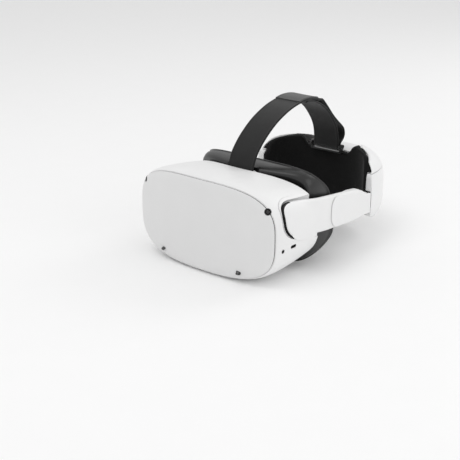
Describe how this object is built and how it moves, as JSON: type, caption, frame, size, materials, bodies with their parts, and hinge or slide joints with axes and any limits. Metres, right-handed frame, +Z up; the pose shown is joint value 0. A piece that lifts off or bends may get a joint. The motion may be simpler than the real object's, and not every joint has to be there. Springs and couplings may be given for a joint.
{
  "type": "vr headset",
  "caption": "White visor with curved face plate, lenses and tracking cameras, on tilting speaker arms with a sliding padded rear cradle, fit wheel and fabric top strap.",
  "frame": {"origin": "on the flat under the visor, on the plane of symmetry", "axes": "+X the wearer's left, -Y the way the wearer looks, +Z up"},
  "size_m": [0.1916, 0.2733, 0.1601],
  "materials": {
    "white_plastic": "fine satin",
    "satin_black": "satin",
    "black_plastic": "fine matt",
    "camera_glass": "polished",
    "steel": "satin",
    "circuit_board": "solder mask",
    "battery_wrap": "film wrap",
    "aluminium": "machined",
    "display_glass": "polished",
    "clear_lens": "polished",
    "foam": "knitted foam cover",
    "rubber": "matt",
    "strap_fabric": "woven webbing"
  },
  "bodies": {
    "visor": {"front_cover": "white_plastic", "visor_shell": "white_plastic", "camera_upper_left": "camera_glass", "camera_upper_right": "camera_glass", "camera_lower_left": "camera_glass", "camera_lower_right": "camera_glass", "usb_socket": "steel", "audio_jack": "black_plastic", "status_light": "clear_lens", "main_board": "circuit_board", "processor_shield": "steel", "battery_cell": "battery_wrap", "heat_sink": "aluminium", "display_bracket": "black_plastic", "display_panel": "display_glass", "fan_housing": "black_plastic", "lens_rail_upper": "steel", "lens_rail_lower": "steel", "rear_bezel": "black_plastic", "left_bezel_screw_upper": "steel", "right_bezel_screw_upper": "steel", "left_bezel_screw_lower": "steel", "right_bezel_screw_lower": "steel", "wear_sensor": "camera_glass", "facial_interface_frame": "satin_black", "face_cushion": "foam", "nose_flap": "rubber", "strap_anchor": "steel", "left_pivot_pin": "steel", "right_pivot_pin": "steel", "front_top_strap": "strap_fabric"},
    "left_lens": {"left_lens_carrier": "black_plastic", "left_lens": "clear_lens"},
    "right_lens": {"right_lens_carrier": "black_plastic", "right_lens": "clear_lens"},
    "fan_rotor": {"fan_rotor": "black_plastic"},
    "power_button": {"power_button": "white_plastic"},
    "volume_rocker": {"volume_rocker": "white_plastic"},
    "strap_arms": {"left_speaker_arm": "white_plastic", "right_speaker_arm": "white_plastic", "left_arm_inner_cover": "white_plastic", "right_arm_inner_cover": "white_plastic", "left_speaker_driver": "black_plastic", "right_speaker_driver": "black_plastic", "left_arm_sleeve": "white_plastic", "right_arm_sleeve": "white_plastic", "left_strap_tongue": "black_plastic", "right_strap_tongue": "black_plastic"},
    "rear_cradle": {"cradle_lower_shell": "white_plastic", "cradle_upper_shell": "white_plastic", "cradle_inner_frame": "black_plastic", "cradle_pad": "foam", "gear_case": "black_plastic", "strap_buckle": "black_plastic", "rear_top_strap": "strap_fabric"},
    "fit_wheel": {"fit_wheel": "black_plastic", "fit_wheel_screw": "steel"},
    "left_rack": {"left_rack": "black_plastic"},
    "right_rack": {"right_rack": "black_plastic"}
  },
  "joints": [
    {"name": "strap_tilt", "type": "hinge", "parent": "visor", "child": "strap_arms", "pos_m": [0, 0.016, 0.0665], "axis": [1, 0, 0], "range_deg": [-3, 3], "deforming": ["front_top_strap", "rear_top_strap"]},
    {"name": "cradle_slide", "type": "slide", "parent": "strap_arms", "child": "rear_cradle", "axis": [0, 1, 0], "range_m": [0, 0.02]},
    {"name": "fit_wheel_turn", "type": "hinge", "parent": "rear_cradle", "child": "fit_wheel", "pos_m": [0, 0.235, 0.053], "axis": [0, 1, 0], "range_deg": [-0.5, 230]},
    {"name": "left_rack_slide", "type": "slide", "parent": "rear_cradle", "child": "left_rack", "axis": [1, 0, 0], "range_m": [-0.0001, 0.0201]},
    {"name": "right_rack_slide", "type": "slide", "parent": "rear_cradle", "child": "right_rack", "axis": [1, 0, 0], "range_m": [-0.0201, 0.0001]},
    {"name": "left_lens_slide", "type": "slide", "parent": "visor", "child": "left_lens", "axis": [1, 0, 0], "range_m": [-0.0025, 0.0025]},
    {"name": "right_lens_slide", "type": "slide", "parent": "visor", "child": "right_lens", "axis": [1, 0, 0], "range_m": [-0.0026, 0.0026]},
    {"name": "fan_spin", "type": "hinge", "parent": "visor", "child": "fan_rotor", "pos_m": [0, -0.017, 0.056], "axis": [0, 1, 0], "continuous": true},
    {"name": "power_button_press", "type": "slide", "parent": "visor", "child": "power_button", "axis": [1, 0, 0], "range_m": [0, 0.0006], "stiffness_N_per_m": 400},
    {"name": "volume_rocker_tilt", "type": "hinge", "parent": "visor", "child": "volume_rocker", "pos_m": [-0.041, 0.002, 0.003], "axis": [0, 1, 0], "range_deg": [-3, 3], "stiffness_Nm_per_rad": 0.5}
  ],
  "couplings": [
    {"joint": "fit_wheel_turn", "follows": "cradle_slide", "rad_per_m": 200},
    {"joint": "left_rack_slide", "follows": "cradle_slide", "ratio": 1},
    {"joint": "right_rack_slide", "follows": "cradle_slide", "ratio": -1},
    {"joint": "right_lens_slide", "follows": "left_lens_slide", "ratio": -1}
  ]
}
